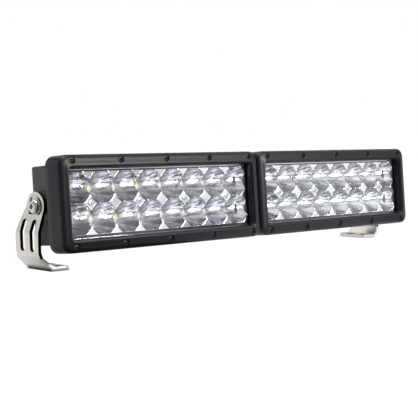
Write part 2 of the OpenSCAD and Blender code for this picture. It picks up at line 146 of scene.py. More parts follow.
def linked_object(name, mesh=None):
    """An object in the scene, with an empty mesh unless one is given."""
    if mesh is None:
        mesh = bpy.data.meshes.new(name)
    obj = bpy.data.objects.new(name, mesh)
    bpy.context.scene.collection.objects.link(obj)
    return obj


def to_object(name, verts, faces, matrix=None):
    """A linked object at the origin, its place in its mesh, with outward faces."""
    mesh = bpy.data.meshes.new(name)
    mesh.from_pydata([matrix @ Vector(v) if matrix else Vector(v) for v in verts], [], faces)
    obj = linked_object(name, mesh)
    tidy(obj)
    return obj


def tidy(obj, merge=1e-7):
    """Merges doubles and turns all faces outwards."""
    bm = bmesh.new()
    bm.from_mesh(obj.data)
    bmesh.ops.remove_doubles(bm, verts=bm.verts, dist=merge)
    bmesh.ops.recalc_face_normals(bm, faces=bm.faces)
    bm.to_mesh(obj.data)
    bm.free()


def apply_modifiers(obj):
    """Replaces the mesh by its evaluated form and clears the modifiers."""
    graph = bpy.context.evaluated_depsgraph_get()
    graph.update()
    mesh = bpy.data.meshes.new_from_object(obj.evaluated_get(graph))
    mesh.name = obj.name
    obj.modifiers.clear()
    obj.data = mesh


def remove(*objects):
    for obj in objects:
        bpy.data.objects.remove(obj, do_unlink=True)


def cut(obj, *cutters):
    """Exact boolean difference, one cutter object after another."""
    for cutter in cutters:
        mod = obj.modifiers.new("cut", "BOOLEAN")
        mod.operation = "DIFFERENCE"
        mod.solver = "EXACT"
        mod.object = cutter
        apply_modifiers(obj)
        remove(cutter)


def soften(obj, width_mm, segments=2, angle=35):
    """Rounds the sharp edges of a mesh that is in metres."""
    mod = obj.modifiers.new("edge", "BEVEL")
    mod.width = width_mm*MM
    mod.segments = segments
    mod.limit_method = "ANGLE"
    mod.angle_limit = math.radians(angle)
    apply_modifiers(obj)


def shade(obj, angle=40):
    """Smooth shading that keeps edges steeper than the angle crisp."""
    obj.data.shade_smooth()
    obj.data.set_sharp_from_angle(angle=math.radians(angle))


def declare(obj, material, body, slot, *nodes):
    """Gives a finished piece its material and body, and hides the CAD nodes that it stands for; slot is not
    used.
    """
    obj.data.materials.clear()
    obj.data.materials.append(material)
    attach(obj, body)
    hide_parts(*nodes)
    print(f"{obj.name}: {len(obj.data.polygons)} faces, for {', '.join(nodes)}")


# %% [markdown]
# ## Finishes
# The real bar shows about a dozen finishes: satin powder coat, black oxide screws, metallised plastic,
# brushed and polished stainless, clear polycarbonate, rubber, nylon, circuit board and phosphor. They
# differ in colour, gloss and grain, so one graph serves nearly all: a cloudy noise drifts the colour, and
# a fine noise drifts the roughness and dents the surface. Stretching the noise turns grain into brush
# marks.
# Object coordinates keep every pattern at real scale, because the objects are in metres.


# %% Small node helpers
def plug(tree, value, socket):
    """Sets a socket to a number, or links another node's output to it."""
    if isinstance(value, bpy.types.NodeSocket):
        tree.links.new(value, socket)
    else:
        socket.default_value = value


def math_node(tree, operation, first, second):
    """Result of a Math node on two numbers or outputs."""
    node = tree.nodes.new("ShaderNodeMath")
    node.operation = operation
    plug(tree, first, node.inputs[0])
    plug(tree, second, node.inputs[1])
    return node.outputs[0]


def map_range(tree, value, span, to=(0, 1), way="LINEAR"):
    """Result of a Map Range node: a span of values stretched over another."""
    node = tree.nodes.new("ShaderNodeMapRange")
    node.interpolation_type = way
    for label, number in zip(("From Min", "From Max", "To Min", "To Max"), (*span, *to)):
        node.inputs[label].default_value = number
    tree.links.new(value, node.inputs["Value"])
    return node.outputs["Result"]


def noise(tree, vector, scale, detail=2):
    """Grey output of a Noise Texture node."""
    node = tree.nodes.new("ShaderNodeTexNoise")
    node.inputs["Scale"].default_value = scale
    node.inputs["Detail"].default_value = detail
    tree.links.new(vector, node.inputs["Vector"])
    return node.outputs["Fac"]


def bump(tree, height, depth):
    """Normal output of a Bump node whose full height is depth millimetres."""
    node = tree.nodes.new("ShaderNodeBump")
    node.inputs["Strength"].default_value = 1.0
    node.inputs["Distance"].default_value = depth*MM
    tree.links.new(height, node.inputs["Height"])
    return node.outputs["Normal"]


print("node helpers: plug, math_node, map_range, noise, bump")


# %% One graph for grained finishes
def grained(name, colour, drift=0.15, rough=(0.4, 0.5), cloud=30, grain=1500, depth=0.02,
            metallic=0.0, stretch=(1, 1, 1), coat=0.0, specular=0.5):
    """cloud and grain are noise scales per metre; depth is the grain's height in millimetres."""
    mat = bpy.data.materials.new(name)
    mat.use_nodes = True
    tree = mat.node_tree
    shader = tree.nodes["Principled BSDF"]
    shader.inputs["Metallic"].default_value = metallic
    shader.inputs["Specular IOR Level"].default_value = specular
    shader.inputs["Coat Weight"].default_value = coat
    shader.inputs["Coat Roughness"].default_value = 0.15
    place = tree.nodes.new("ShaderNodeTexCoord")
    mapping = tree.nodes.new("ShaderNodeMapping")
    mapping.inputs["Scale"].default_value = stretch
    tree.links.new(place.outputs["Object"], mapping.inputs["Vector"])
    clouds = noise(tree, mapping.outputs["Vector"], cloud, 4)
    fine = noise(tree, mapping.outputs["Vector"], grain, 3)
    tint = tree.nodes.new("ShaderNodeMix")
    tint.data_type = "RGBA"
    tint.inputs["A"].default_value = (*[c*(1 - drift) for c in colour], 1)
    tint.inputs["B"].default_value = (*[min(c*(1 + drift), 1) for c in colour], 1)
    tree.links.new(clouds, tint.inputs["Factor"])
    tree.links.new(tint.outputs["Result"], shader.inputs["Base Color"])
    tree.links.new(map_range(tree, fine, (0.3, 0.7), rough), shader.inputs["Roughness"])
    tree.links.new(bump(tree, fine, depth), shader.inputs["Normal"])
    return mat


print("a finish is one call of grained")


# %% The finishes of this bar
POWDER_COAT = grained("powder_coat", (0.0030, 0.0050, 0.0084), rough=(0.33, 0.45), grain=1400, depth=0.012,
                      specular=0.3)
CAST_COAT = grained("cast_powder_coat", (0.038, 0.038, 0.043), rough=(0.42, 0.56), grain=900, depth=0.03)
BLACK_OXIDE = grained("black_oxide", (0.004, 0.004, 0.0045), rough=(0.3, 0.45), grain=2500, depth=0.004,
                      specular=0.3)
BLACK_RUBBER = grained("black_rubber", (0.003, 0.003, 0.003), rough=(0.6, 0.75), grain=2000, depth=0.01,
                       specular=0.2)
BLACK_NYLON = grained("black_nylon", (0.018, 0.018, 0.020), rough=(0.45, 0.6), grain=1800, depth=0.012)
ZINC = grained("zinc_plate", (0.50, 0.51, 0.53), rough=(0.22, 0.36), grain=2600, depth=0.003, metallic=1)
POLISHED = grained("polished_stainless", (0.62, 0.61, 0.59), rough=(0.12, 0.22), grain=2600, depth=0.002,
                   metallic=1)
BRUSHED = grained("brushed_stainless", (0.68, 0.66, 0.62), drift=0.08, rough=(0.28, 0.42), cloud=12,
                  grain=1600, depth=0.004, metallic=1, stretch=(1, 1, 0.06))


def paint_shade_on_cut_edges(mat):
    """Painted shade and dark reflection on the sheet's cut edges: the colour is mixed to near black by an
    attribute.
    """
    tree = mat.node_tree
    colour = tree.nodes["Principled BSDF"].inputs["Base Color"]
    clean = colour.links[0].from_socket
    sheared = tree.nodes.new("ShaderNodeAttribute")
    sheared.attribute_name = "sheared"
    blend = tree.nodes.new("ShaderNodeMix")
    blend.data_type = "RGBA"
    blend.inputs["B"].default_value = (0.03, 0.03, 0.03, 1)
    tree.links.new(sheared.outputs["Fac"], blend.inputs["Factor"])
    tree.links.new(clean, blend.inputs["A"])
    tree.links.new(blend.outputs["Result"], colour)


# painted shade and dark reflection: the bracket sheet's cut edges and foot holes are mixed to near black
paint_shade_on_cut_edges(BRUSHED)
WHITE_MASK = grained("white_solder_mask", (0.62, 0.59, 0.80), rough=(0.3, 0.4), grain=1500, depth=0.003)
PHOSPHOR = grained("phosphor", (0.78, 0.86, 0.10), drift=0.1, rough=(0.15, 0.22), cloud=400, grain=3000,
                   depth=0.002, coat=0.6)
# painted glow: the phosphor of the unlit emitters is given a faint yellow-green emission
painted_phosphor_glow = PHOSPHOR.node_tree.nodes["Principled BSDF"].inputs
painted_phosphor_glow["Emission Color"].default_value = (0.70, 0.85, 0.08, 1)
painted_phosphor_glow["Emission Strength"].default_value = 0.45
print("grained finishes:", len(bpy.data.materials))

# %% [markdown]
# ## Mirror and lens
# The reflector is moulded plastic with a vacuum-coated aluminium film: a near perfect mirror. The
# plastic shrinks a little as it cools, so the bowls are faintly wavy, and the waves break what they
# reflect into streaks round the bowl. The bump reads an attribute that holds the direction round each
# bowl and the distance from its middle, and it fades out where the flat lands begin.
# The lens is a thin flat plate, so it hardly bends light and needs no refraction: it is a faint mirror
# that grows stronger at grazing angles, and it lets the lamps shine on the bowls.


# %% Reflector film
LAND_STARTS = (0.408, 0.413)
WAVE_HEIGHT = 0.4


def mirror_film():
    """A near perfect mirror, wavy inside the bowls; around_bowl holds direction and radius/40 mm."""
    mat = grained("mirror_film", (0.84, 0.85, 0.89), drift=0.05, rough=(0.02, 0.07), cloud=60,
                  grain=500, depth=0.004, metallic=1)
    tree = mat.node_tree
    around = tree.nodes.new("ShaderNodeAttribute")
    around.attribute_name = "around_bowl"
    place = tree.nodes.new("ShaderNodeTexCoord")
    where = tree.nodes.new("ShaderNodeVectorMath")
    where.operation = "DOT_PRODUCT"
    where.inputs[1].default_value = (12, 0, 17)
    tree.links.new(place.outputs["Object"], where.inputs[0])
    drawn_out = tree.nodes.new("ShaderNodeMapping")
    drawn_out.inputs["Scale"].default_value = (0.7, 0.7, 6)
    tree.links.new(around.outputs["Vector"], drawn_out.inputs["Vector"])
    flutes = noise(tree, drawn_out.outputs["Vector"], 3, 4)
    flutes.node.noise_dimensions = "4D"
    tree.links.new(where.outputs["Value"], flutes.node.inputs["W"])
    radius = tree.nodes.new("ShaderNodeSeparateXYZ")
    tree.links.new(around.outputs["Vector"], radius.inputs["Vector"])
    in_bowl = map_range(tree, radius.outputs["Z"], LAND_STARTS, (1, 0))
    fine = next(n for n in tree.nodes if n.type == "BUMP")
    wave = bump(tree, math_node(tree, "MULTIPLY", flutes, in_bowl), WAVE_HEIGHT)
    tree.links.new(wave, fine.inputs["Normal"])
    return mat


# %% Clear lens
def clear_lens():
    """A thin coat of mirror whose cover grows at grazing angles, with a little dust."""
    mat = grained("clear_polycarbonate", (0.95, 0.96, 0.96), drift=0.01, rough=(0.01, 0.04), cloud=20,
                  grain=60, depth=0.002, metallic=1)
    tree = mat.node_tree
    facing = tree.nodes.new("ShaderNodeLayerWeight")
    place = tree.nodes.new("ShaderNodeTexCoord")
    haze = map_range(tree, noise(tree, place.outputs["Object"], 35), (0, 1), (0.03, 0.05))
    fade = math_node(tree, "POWER", facing.outputs["Facing"], 4)
    shine = math_node(tree, "ADD", fade, haze)
    tree.links.new(shine, tree.nodes["Principled BSDF"].inputs["Alpha"])
    return mat


MIRROR = mirror_film()
LENS = clear_lens()
print("mirror and lens ready")

# %% [markdown]
# ## Bezel
# The bezel is a die-cast frame: its rails are slightly crowned, its front edges are rounded and a thin
# skirt runs back over the housing. It could be a box with booleans, but a frame of constant section is
# really a profile swept round a rounded rectangle. So the section is written as a list of rings, each
# one a rounded rectangle at its own depth, and joined end to end like a bent tube. The ten screw seats
# are then drilled with cylinders.

# %% Bezel rings
BEZEL_HALF = (130.25, 45.7)
WINDOW_HALF = (120, 33)
CORNER_R = 10
EDGE_R = 5.2
CROWN = 1.2
SCREW_PITCH = 58.15
RAIL_Z = 40.4
SEAT_DEPTH = 4.6


def bezel_rings():
    w, h = BEZEL_HALF
    a, b = WINDOW_HALF
    rings = []
    # outside, from the skirt's back edge to the start of the rounding
    for inset, y in ((0.5, 25), (0.15, 24.85), (0, 24.5), (0, 18), (0, 12), (0, EDGE_R + 1)):
        rings.append(ring_rect(w - inset, h - inset, CORNER_R - inset, y))
    # quarter round that ends in the gentle slope of the crowned rail
    for i in range(9):
        t = math.radians(i*10)
        inset = EDGE_R*(1 - math.cos(t))
        y = CROWN + (EDGE_R - CROWN)*(1 - math.sin(t)) + CROWN*(1 - i/8)*0.2
        rings.append(ring_rect(w - inset, h - inset, CORNER_R - inset*0.75, y))
    # crowned face, rising to the window
    for s in (0.25, 0.5, 0.75, 1):
        inset_w = EDGE_R + (w - a - 2.2 - EDGE_R)*s
        inset_h = EDGE_R + (h - b - 2.2 - EDGE_R)*s
        y = CROWN*(1 - s)**1.25
        rings.append(ring_rect(w - inset_w, h - inset_h, 6 - 0.8*s, y))
    # chamfer down to the window wall, the wall, and the rebate for the lens
    for grow, y, r in ((1.6, 0.15, 4.6), (0.5, 1.3, 3.5), (0.1, 2.0, 3.1), (0, 2.8, 3), (0, 7.5, 3)):
        rings.append(ring_rect(a + grow, b + grow, r, y))
    rings.append(ring_rect(a + 3, b + 3, 4, 7.5))
    rings.append(ring_rect(a + 3, b + 3, 4, 10.5))
    rings.append(ring_rect(w - 1.8, h - 1.8, CORNER_R - 1.8, 10.5))
    rings.append(ring_rect(w - 1.8, h - 1.8, CORNER_R - 1.8, 25))
    return rings


SEAT_DRILL = ((4.1, -2), (4.1, 0.5), (3.5, 1.3), (3.5, SEAT_DEPTH), (1.7, SEAT_DEPTH), (1.7, 12))


def seat_cutter(matrix):
    """Ten drills in one mesh: a wide seat for the head and a narrow hole for the shank."""
    verts, faces = stack([ring_round(r, y, n=32) for r, y in SEAT_DRILL])
    drills = [([(x + i*SCREW_PITCH, y, z + rail) for x, y, z in verts], faces)
              for i in range(-2, 3) for rail in (-RAIL_Z, RAIL_Z)]
    return to_object("seat_cutter", *joined(drills), matrix)


def bezel(side):
    obj = to_object(f"{side}_bezel_frame", *stack(bezel_rings(), closed=True), lamp(side))
    cut(obj, seat_cutter(lamp(side)))
    shade(obj, 30)
    declare(obj, POWDER_COAT, "light_head", "black_coat", f"{side}_bezel")


for side in SIDES:
    bezel(side)

# %% [markdown]
# ## Screws with Geometry Nodes
# Ten identical socket screws hold each bezel. Copies could be made in a Python loop, but a Geometry
# Nodes tree says the rule once: a grid of points with a pitch and a height, and one screw instanced on
# every point. The grid's sizes are named inputs, so the same tree also sets out the emitters and the
# screws of the reflector. Realize Instances turns the copies into real faces.


# %% A tree that sets copies of a part on a grid
def new_tree(name, fields):
    """Geometry Nodes tree with named inputs: the tree, each input's identifier, and its input node."""
    tree = bpy.data.node_groups.new(name, "GeometryNodeTree")
    face = tree.interface
    face.new_socket("Geometry", in_out="INPUT", socket_type="NodeSocketGeometry")
    sockets = {label: face.new_socket(label, in_out="INPUT", socket_type="NodeSocket" + kind).identifier
               for label, kind in fields.items()}
    face.new_socket("Geometry", in_out="OUTPUT", socket_type="NodeSocketGeometry")
    return tree, sockets, tree.nodes.new("NodeGroupInput")


def copies_out(tree, start, points, part):
    """A part on every point, made real and given the Finish input, as the tree's result."""
    copies = tree.nodes.new("GeometryNodeInstanceOnPoints")
    real = tree.nodes.new("GeometryNodeRealizeInstances")
    finish = tree.nodes.new("GeometryNodeSetMaterial")
    end = tree.nodes.new("NodeGroupOutput")
    for source, socket in ((points, copies.inputs["Points"]), (part, copies.inputs["Instance"]),
                           (copies.outputs["Instances"], real.inputs["Geometry"]),
                           (real.outputs["Geometry"], finish.inputs["Geometry"]),
                           (start.outputs["Finish"], finish.inputs["Material"]),
                           (finish.outputs["Geometry"], end.inputs["Geometry"])):
        tree.links.new(source, socket)


def from_tree(name, tree, sockets, values):
    """A mesh made by a tree, whose inputs are set by identifier before it is first evaluated."""
    obj = linked_object(name)
    mod = obj.modifiers.new("copies", "NODES")
    mod.node_group = tree
    for label, value in values.items():
        mod[sockets[label]] = value
    apply_modifiers(obj)
    return obj


def grid_tree(name):
    tree, sockets, start = new_tree(name, {"Part": "Object", "Columns": "Int", "Rows": "Int",
                                           "Column Pitch": "Float", "Row Pitch": "Float",
                                           "Finish": "Material"})
    grid = tree.nodes.new("GeometryNodeMeshGrid")
    for count, pitch, end in (("Columns", "Column Pitch", "X"), ("Rows", "Row Pitch", "Y")):
        gaps = math_node(tree, "SUBTRACT", start.outputs[count], 1)
        tree.links.new(start.outputs[count], grid.inputs["Vertices " + end])
        tree.links.new(math_node(tree, "MULTIPLY", gaps, start.outputs[pitch]), grid.inputs["Size " + end])
    upright = tree.nodes.new("GeometryNodeTransform")
    upright.inputs["Rotation"].default_value = (math.pi/2, 0, 0)
    part = tree.nodes.new("GeometryNodeObjectInfo")
    tree.links.new(grid.outputs["Mesh"], upright.inputs["Geometry"])
    tree.links.new(start.outputs["Part"], part.inputs["Object"])
    copies_out(tree, start, upright.outputs["Geometry"], part.outputs["Geometry"])
    return tree, sockets


GRID, GRID_INPUT = grid_tree("copies_on_a_grid")


def copies_on_grid(name, part, columns, rows, column_pitch, row_pitch, material, matrix, shift=(0, 0, 0)):
    """One mesh of all copies, in module millimetres, then put at its place."""
    obj = from_tree(name, GRID, GRID_INPUT, {"Part": part, "Columns": columns, "Rows": rows,
                                             "Column Pitch": column_pitch, "Row Pitch": row_pitch,
                                             "Finish": material})
    obj.data.transform(matrix @ Matrix.Translation(shift))
    tidy(obj)
    return obj


print("tree inputs:", ", ".join(GRID_INPUT))


# %% Bezel screws
def socket_screw(head_r, head_h, shank_r, length, socket_r):
    """Socket head screw along Y, its head's top at y = 0."""
    n = 24
    rings = [
        ring_round(socket_r*0.4, 1.7, n=n), ring_round(socket_r, 1.6, n=n, corners=6),
        ring_round(socket_r, 0.12, n=n, corners=6), ring_round(socket_r + 0.12, 0, n=n, corners=6),
        ring_round(head_r - 0.45, 0, n=n), ring_round(head_r - 0.12, 0.12, n=n),
        ring_round(head_r, 0.45, n=n), ring_round(head_r, head_h, n=n),
        ring_round(shank_r, head_h, n=n), ring_round(shank_r, length - 0.5, n=n),
        ring_round(shank_r - 0.4, length, n=n)]
    obj = to_object("one_screw", *stack(rings))
    shade(obj, 35)
    return obj


def bezel_screws(side):
    screw = socket_screw(2.75, 2.9, 1.5, 17, 1.5)
    obj = copies_on_grid(f"{side}_socket_screws", screw, 5, 2, SCREW_PITCH, 2*RAIL_Z, BLACK_OXIDE,
                         lamp(side), shift=(0, 1.65, 0))
    remove(screw)
    shade(obj, 35)
    declare(obj, BLACK_OXIDE, "light_head", "black_screw", f"{side}_bezel_screws")


for side in SIDES:
    bezel_screws(side)

# %% [markdown]
# ## Reflector
# Each emitter sits at the focus of a paraboloid bowl. The bowls are wider than the square cell that
# each one has, so neighbours cut each other in scalloped ridges, and where four bowls meet a flat land
# with four concave sides is left. One cell is drawn in polar rings: along each direction the bowl runs
# out to the cell's edge or to its own rim, whichever comes first. A second skin follows the bowls one
# even wall behind, as a moulding's does. Sixteen cells share their edges exactly, so the grid tree can
# lay them out, merging joins them, and a band round the outline closes front to back.

# %% One reflector cell
CELL = 29.93
RIM_R = 16.5
THROAT_R = 4.5
RIM_Y = 11.4
BOWL_DEPTH = 22
FOCAL_X4 = (RIM_R**2 - THROAT_R**2)/BOWL_DEPTH
BACK_Y = RIM_Y + BOWL_DEPTH
RADIAL_STEPS = 14
RIDGE = 0.5
WALL = 1.2
LAND_BACK_Y = RIM_Y + 2


def bowl_y(r):
    return RIM_Y + (RIM_R**2 - r*r)/FOCAL_X4


def cell_angles():
    """Directions for a whole turn; one of them is where the rim leaves the cell's edge."""
    leave = math.acos(CELL/2/RIM_R)
    eighth = [leave*i/6 for i in range(6)] + [leave + (math.pi/4 - leave)*i/5 for i in range(6)]
    quarter = eighth + [math.pi/2 - a for a in reversed(eighth[1:-1])]
    return [a + q*math.pi/2 for q in range(4) for a in quarter]


def edge_reach(a):
    """Distance from the cell's centre to its square edge."""
    return CELL/2/max(abs(math.cos(a)), abs(math.sin(a)))


def meridian(a):
    """(radius, depth) from throat to cell edge: the bowl, then a rounded ridge or a rim with flat land."""
    reach = edge_reach(a)
    wall_end = min(RIM_R, reach) - RIDGE
    line = [(THROAT_R + (wall_end - THROAT_R)*k/RADIAL_STEPS) for k in range(RADIAL_STEPS + 1)]
    line = [(r, bowl_y(r)) for r in line]
    top = bowl_y(wall_end)
    if reach <= RIM_R + 0.01:
        return line + [(reach - 0.3, top - 0.5), (reach - 0.12, top - 0.72)] + [(reach, top - 0.78)]*3
    return line + [(RIM_R - 0.25, RIM_Y + 0.3), (RIM_R, RIM_Y + 0.05), (min(RIM_R + 0.3, reach), RIM_Y),
                   (min(RIM_R + 0.7, reach), RIM_Y), (reach, RIM_Y)]


def back_line(a):
    """(radius, depth) behind the same direction, from the cell's edge in to the throat: one even wall."""
    reach = edge_reach(a)
    land_end = WALL + math.sqrt(RIM_R**2 - (LAND_BACK_Y - RIM_Y)*FOCAL_X4)
    start = min(reach, land_end)
    radii = [start + (THROAT_R + WALL - start)*k/8 for k in range(9)]
    return [(reach, bowl_y(start - WALL))] + [(r, bowl_y(r - WALL)) for r in radii] + [(THROAT_R, BACK_Y)]


def cell_mesh():
    angles = cell_angles()
    skins = []
    for lines in ([meridian(a) for a in angles], [back_line(a) for a in angles]):
        rings = [[(r*math.cos(a), y, r*math.sin(a)) for a, (r, y) in zip(angles, ring)]
                 for ring in zip(*lines)]
        verts, faces = stack(rings)
        skins.append((verts, faces[:-2]))
    return joined(skins)


def one_cell():
    obj = linked_object("one_cell")
    verts, faces = cell_mesh()
    obj.data.from_pydata(verts, [], faces)
    around = obj.data.attributes.new("around_bowl", "FLOAT_VECTOR", "POINT")
    for point, (x, y, z) in zip(around.data, verts):
        r = math.hypot(x, z)
        point.vector = (x/r, z/r, r/40)
    return obj


def close_sides(obj):
    """Walls between the front and the back outline of the finished grid."""
    bm = bmesh.new()
    bm.from_mesh(obj.data)
    bmesh.ops.remove_doubles(bm, verts=bm.verts, dist=0.002*MM)
    bmesh.ops.dissolve_degenerate(bm, edges=bm.edges, dist=0.0005*MM)
    rim = [e for e in bm.edges if e.is_boundary]
    bmesh.ops.bridge_loops(bm, edges=rim)
    bmesh.ops.recalc_face_normals(bm, faces=bm.faces)
    bm.to_mesh(obj.data)
    bm.free()


def reflector(side):
    cell = one_cell()
    obj = copies_on_grid(f"{side}_bowls", cell, 8, 2, CELL, CELL, MIRROR, lamp(side))
    remove(cell)
    close_sides(obj)
    shade(obj, 66)
    declare(obj, MIRROR, "light_head", "mirror_coat", f"{side}_reflector")


for side in SIDES:
    reflector(side)

# %% [markdown]
# ## Emitters and the small screws between the bowls
# An emitter is a ceramic square with a dome of silicone over yellow phosphor. Every second land between
# the bowls carries the head of a screw. Both repeat on a grid, so both use the same tree as before.


# %% Emitters and reflector screws
def emitter_part():
    base = [ring_rect(2.3, 2.3, 0.3, 33.55, 2), ring_rect(2.5, 2.5, 0.4, 33.4, 2),
            ring_rect(2.5, 2.5, 0.4, 32.85, 2), ring_rect(2.35, 2.35, 0.3, 32.7, 2)]
    return to_object("one_emitter", *stack(base))


def dome_part():
    rings = [ring_round(1.75*math.cos(math.radians(a)), 32.75 - 1.3*math.sin(math.radians(a)), n=24)
             for a in range(0, 90, 15)]
    rings.append(ring_round(0.05, 32.75 - 1.3, n=24))
    return to_object("one_dome", *stack(rings))


def emitters(side):
    base, dome = emitter_part(), dome_part()
    board = copies_on_grid(f"{side}_emitter_bases", base, 8, 2, CELL, CELL, WHITE_MASK, lamp(side))
    domes = copies_on_grid(f"{side}_phosphor_domes", dome, 8, 2, CELL, CELL, PHOSPHOR, lamp(side))
    remove(base, dome)
    shade(board, 35)
    shade(domes, 60)
    declare(board, WHITE_MASK, "light_head", "white_board", f"{side}_emitters")
    declare(domes, PHOSPHOR, "light_head", "phosphor", f"{side}_emitters")


def reflector_screws(side):
    screw = socket_screw(2.7, 1.2, 1.5, 20, 1.2)
    obj = copies_on_grid(f"{side}_land_screws", screw, 4, 1, 2*CELL, 0, ZINC, lamp(side),
                         shift=(0, RIM_Y - 0.75, 0))
    remove(screw)
    shade(obj, 35)
    declare(obj, ZINC, "light_head", "zinc_steel", f"{side}_reflector_screws")


for side in SIDES:
    emitters(side)
    reflector_screws(side)

# %% [markdown]
# ## Lens, seal and bright strip
# The lens is a flat plate with softened edges. Behind it a black seal frames the bowls, and a half-round
# mirror strip runs along its long sides. Lens and seal are rounded rectangles again, so the ring helper
# makes them; the strips are half-round rings joined along X.

# %% Lens, seal and strip


def lens(side):
    w, h = WINDOW_HALF[0] + 2.8, WINDOW_HALF[1] + 2.8
    rings = [ring_rect(w - 0.3, h - 0.3, 3.5, 7.55), ring_rect(w, h, 3.8, 7.85), ring_rect(w, h, 3.8, 9.9),
             ring_rect(w - 0.3, h - 0.3, 3.5, 10.2)]
    obj = to_object(f"{side}_clear_lens", *stack(rings), lamp(side))
    shade(obj, 35)
    declare(obj, LENS, "light_head", "clear_lens", f"{side}_lens")


def seal(side):
    (w, h), (a, b) = (122.6, 35.6), (119.76, 30.0)
    rings = [ring_rect(w, h, 3.6, 12.3), ring_rect(w, h, 3.6, 11.5), ring_rect(w - 0.4, h - 0.4, 3.2, 11.2),
             ring_rect(a + 0.3, b + 0.3, 0.6, 11.2), ring_rect(a, b, 0.4, 11.5), ring_rect(a, b, 0.4, 12.3)]
    obj = to_object(f"{side}_black_seal", *stack(rings, closed=True), lamp(side))
    shade(obj, 40)
    declare(obj, BLACK_RUBBER, "light_head", "black_rubber", f"{side}_lens_gasket")


STRIPS = ((32.05, 0.95), (-32.75, 0.4))
STRIP_HALF_X = 119.4


def bright_strip(side):
    """Half-round mirror strip above and below the bowls; the two ends stay open and black."""
    strips = []
    for middle, half in STRIPS:
        arc = [math.radians(180*k/8) for k in range(9)]
        bulge = [(11.35 - 0.8*math.sin(a), middle + half*math.cos(a)) for a in arc]
        section = [(12.2, middle + half)] + bulge + [(12.2, middle - half)]
        places = [-STRIP_HALF_X + 2*STRIP_HALF_X*i/40 for i in range(41)]
        strips.append(stack([[(x, y, z) for y, z in section] for x in places]))
    obj = to_object(f"{side}_bright_strips", *joined(strips), lamp(side))
    shade(obj, 50)
    declare(obj, MIRROR, "light_head", "mirror_coat", f"{side}_reflector")


for side in SIDES:
    lens(side)
    seal(side)
    bright_strip(side)

# %% [markdown]
# ## Brackets
# A bracket is one strip of 3.5 mm stainless, bent five times. A real one is cut flat, then folded. The
# model draws it already bent: a grid of points runs down the bend line and across the strip, the strip's
# front and back edges are functions of the height, and Solidify gives the sheet its thickness. The slots,
# the holes and the shallow seat round the bolt are cut into the bent sheet, and a small bevel breaks the
# cut edges.

# %% Bend line of the bracket
BRACKET_X = 253.2
SHEET = 3.5
FOOT_Z = -61
HEAD_R = 14
FOOT_TIP_X = 226
FOOT_CORNER = 5
BENDS = [(253.2, 13.9, 0), (253.2, -2.5, 9), (260.6, -24, 9), (260, -43.5, 9), (258.4, -50, 6),
         (246.8, FOOT_Z, 5), (FOOT_TIP_X, FOOT_Z, 0)]


def bend_line(step=1.0, arc_steps=6):
    """Points on the outer face from the head to the foot's tip, each corner replaced by an arc."""
    points = []
    for i, (x, z, r) in enumerate(BENDS):
        here = Vector((x, z))
        if not r:
            points.append(here)
            continue
        before = (Vector(BENDS[i - 1][:2]) - here).normalized()
        after = (Vector(BENDS[i + 1][:2]) - here).normalized()
        half = before.angle(after)/2
        reach = r/math.tan(half)
        middle = here + (before + after).normalized()*r/math.sin(half)
        start, end = here + before*reach - middle, here + after*reach - middle
        turn = start.angle_signed(end)
        for k in range(arc_steps + 1):
            points.append(middle + Matrix.Rotation(-turn*k/arc_steps, 2) @ start)
    dense = [points[0]]
    for a, b in zip(points, points[1:]):
        count = max(1, round((b - a).length/step))
        dense += [a.lerp(b, k/count) for k in range(1, count + 1)]
    return dense


def piecewise(z, table):
    """Straight-line interpolation in a short table of (height, value)."""
    for (z0, v0), (z1, v1) in zip(table, table[1:]):
        if z <= z0 and z >= z1:
            return v0 + (v1 - v0)*(z0 - z)/(z0 - z1)
    return table[-1][1]


FRONT_EDGE = [(3, -13.67), (-7, -13.5), (-23.5, -14.3), (-44, -13.9), (-53, -15.6), (-57, -18.0),
              (FOOT_Z, -18.5)]
BACK_EDGE = [(5, 13.1), (-8, 18.5), (-27, 23), (FOOT_Z, 23)]


def strip_edges(point):
    """Front and back edge of the strip at a point of the bend line."""
    x, z = point
    if z > 3:
        round_head = math.sqrt(max(HEAD_R**2 - z*z, 0.3))
        sloped = piecewise(min(z, 5), BACK_EDGE)
        return -round_head, min(round_head, sloped) if z > 5 else sloped
    front, back = piecewise(z, FRONT_EDGE), piecewise(z, BACK_EDGE)
    left = x - FOOT_TIP_X
    if z < FOOT_Z + 0.5 and left < FOOT_CORNER:
        pull = FOOT_CORNER - math.sqrt(max(FOOT_CORNER**2 - (FOOT_CORNER - left)**2, 0))
        front, back = front + pull, back - pull
    return front, back


print("bend line points:", len(bend_line()))


# %% Bracket sheet and its cuts
def head_top():
    """Extra heights that follow the round head closely near its top."""
    return [Vector((BRACKET_X, HEAD_R*math.cos(math.radians(a)) - 0.01)) for a in range(8, 78, 6)]


def bracket_sheet(side, across=24):
    line = [p for p in bend_line() if p.y < HEAD_R*math.cos(math.radians(78))]
    tip = FOOT_TIP_X + FOOT_CORNER
    corner = [Vector((FOOT_TIP_X + FOOT_CORNER*(1 - math.sin(math.radians(a))), FOOT_Z))
              for a in range(10, 91, 8)]
    line = head_top() + [p for p in line if p.y >= FOOT_Z + 0.3 or p.x >= tip] + corner
    rows = []
    for p in line:
        front, back = strip_edges(p)
        rows.append([(p.x, front + (back - front)*k/across, p.y) for k in range(across + 1)])
    verts = [v for row in rows for v in row]
    n = across + 1
    faces = [(i*n + k, i*n + k + 1, (i + 1)*n + k + 1, (i + 1)*n + k)
             for i in range(len(rows) - 1) for k in range(across)]
    mesh = bpy.data.meshes.new("sheet")
    mesh.from_pydata([Vector(v) for v in verts], [], faces)
    obj = linked_object(f"{side}_folded_bracket", mesh)
    outward = mesh.polygons[len(mesh.polygons)//4].normal.x
    if outward < 0:
        mesh.flip_normals()
    mod = obj.modifiers.new("sheet", "SOLIDIFY")
    mod.thickness = SHEET
    mod.offset = -1
    mod.use_even_offset = True
    apply_modifiers(obj)
    return obj


def half_circle(r, start):
    """Points of a half circle from an angle in degrees, as pairs."""
    angles = [math.radians(a) for a in range(start, start + 181, 15)]
    return [(r*math.cos(a), r*math.sin(a)) for a in angles]


